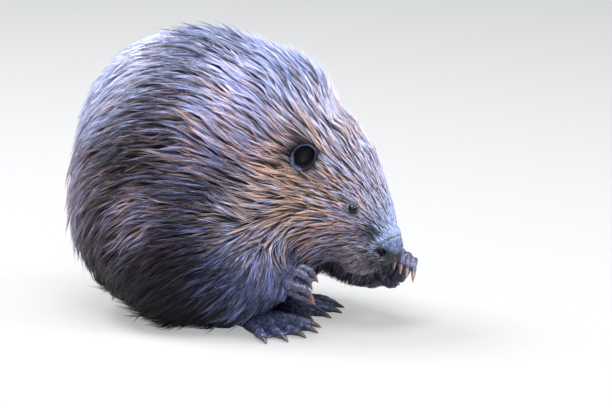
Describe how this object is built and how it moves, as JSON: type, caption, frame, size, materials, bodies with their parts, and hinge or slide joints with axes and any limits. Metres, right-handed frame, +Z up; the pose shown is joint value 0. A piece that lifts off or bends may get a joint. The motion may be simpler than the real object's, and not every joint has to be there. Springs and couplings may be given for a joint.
{
  "type": "beaver, still life-size model",
  "caption": "Life-size still model of a North American beaver sitting hunched, head bent down, forepaws raised to its mouth, flat tail swept to its left.",
  "frame": {"origin": "middle of the bounding box at its bottom, on the floor that the soles, haunches, belly and tail rest on", "axes": "+X forward along the body, +Y to the animal's left, +Z up"},
  "size_m": [0.4266, 0.4302, 0.3068],
  "materials": {
    "fur": "damp dark brown guard hair in clumped locks, with reddish tips and a pale lilac sheen on the back",
    "bare_skin": "wet blue-grey skin, finely creased",
    "tail_scales": "blackish horny scales in staggered rows, satin",
    "claw": "reddish-brown horn, paler at the tip",
    "eye": "wet, nearly black"
  },
  "bodies": {
    "root": {"claw_fore_left_1": "claw", "claw_fore_left_2": "claw", "claw_fore_left_3": "claw", "claw_fore_left_4": "claw", "claw_fore_left_5": "claw", "claw_fore_right_1": "claw", "claw_fore_right_2": "claw", "claw_fore_right_3": "claw", "claw_fore_right_4": "claw", "claw_fore_right_5": "claw", "claw_hind_left_1": "claw", "claw_hind_left_2": "claw", "claw_hind_left_3": "claw", "claw_hind_left_4": "claw", "claw_hind_left_5": "claw", "claw_hind_right_1": "claw", "claw_hind_right_2": "claw", "claw_hind_right_3": "claw", "claw_hind_right_4": "claw", "claw_hind_right_5": "claw", "ear_left": "bare_skin", "ear_right": "bare_skin", "eye_left": "eye", "eye_right": "eye", "forearm_left": "fur", "forearm_right": "fur", "forepaw_left": "bare_skin", "forepaw_right": "bare_skin", "head": "fur", "hind_foot_left": "bare_skin", "hind_foot_right": "bare_skin", "lower_jaw": "fur", "neck": "fur", "nose": "bare_skin", "tail_blade": "tail_scales", "tail_root": "fur", "thigh_left": "fur", "thigh_right": "fur", "trunk": "fur", "upper_arm_left": "fur", "upper_arm_right": "fur"}
  },
  "joints": []
}
